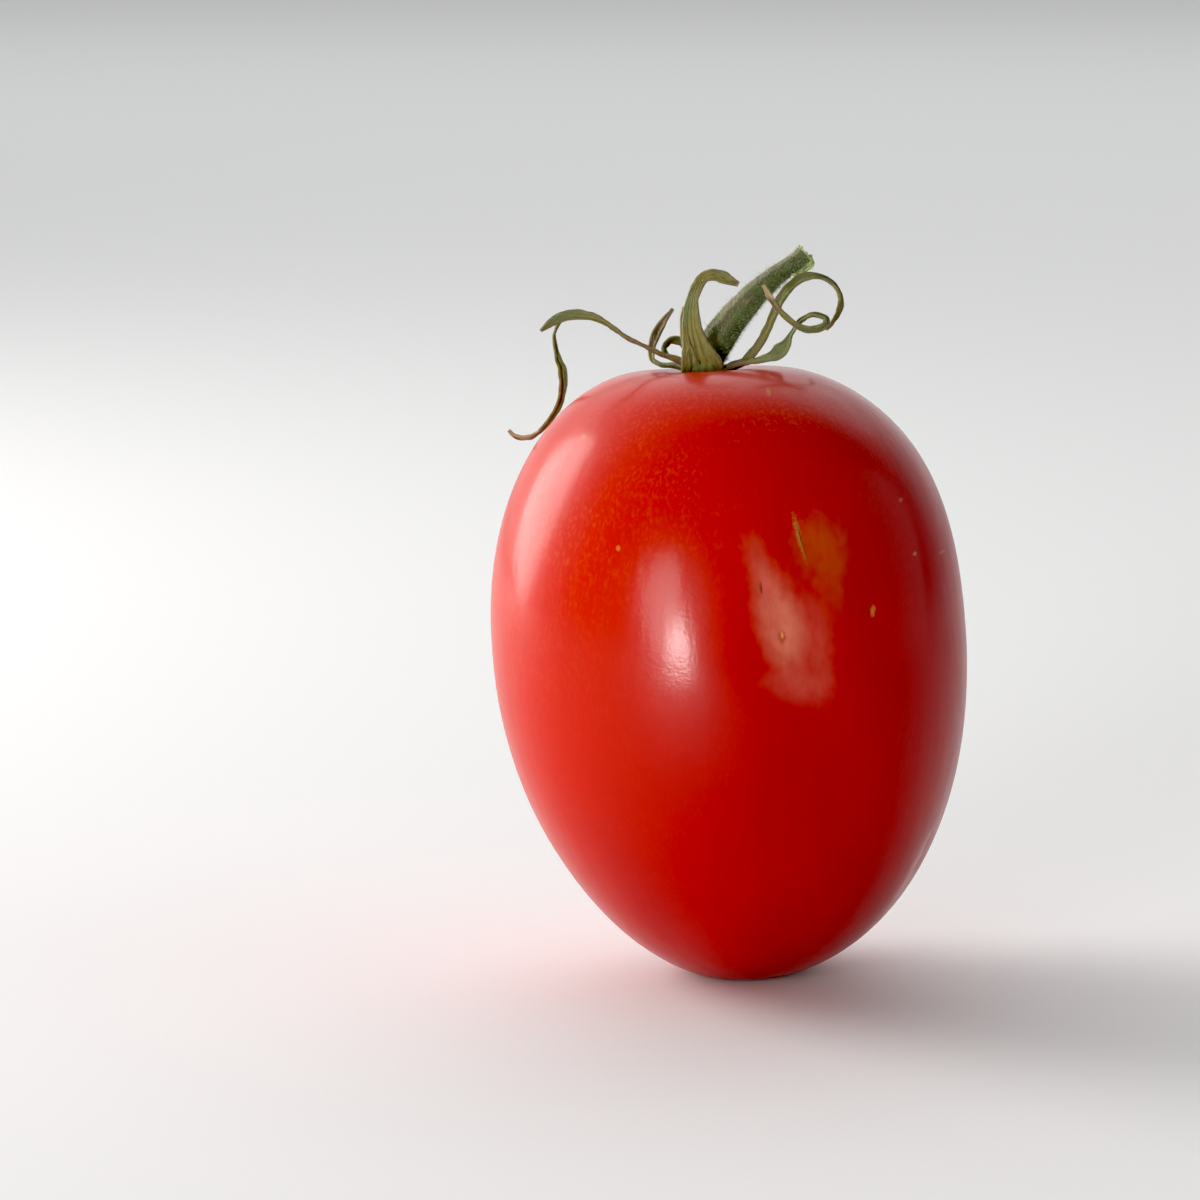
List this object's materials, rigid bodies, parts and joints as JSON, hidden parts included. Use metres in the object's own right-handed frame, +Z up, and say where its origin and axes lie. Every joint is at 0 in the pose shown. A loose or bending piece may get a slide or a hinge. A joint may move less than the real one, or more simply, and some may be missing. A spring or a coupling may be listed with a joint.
{
  "type": "plum tomato",
  "caption": "Ripe plum tomato standing on its blossom end, with dried curled sepals and a short torn stalk at the crown.",
  "frame": {"origin": "centre of the small flat spot at the blossom end that the fruit rests on", "axes": "+Z up from the surface it stands on, the stalk end on top; -Y towards the side with the scarred dent; +X to the right as seen from that side"},
  "size_m": [0.0499, 0.0476, 0.0762],
  "materials": {
    "skin": null,
    "calyx": null,
    "stalk": null
  },
  "bodies": {
    "root": {"fruit": "skin", "calyx": "calyx", "stalk": "stalk"}
  },
  "joints": []
}
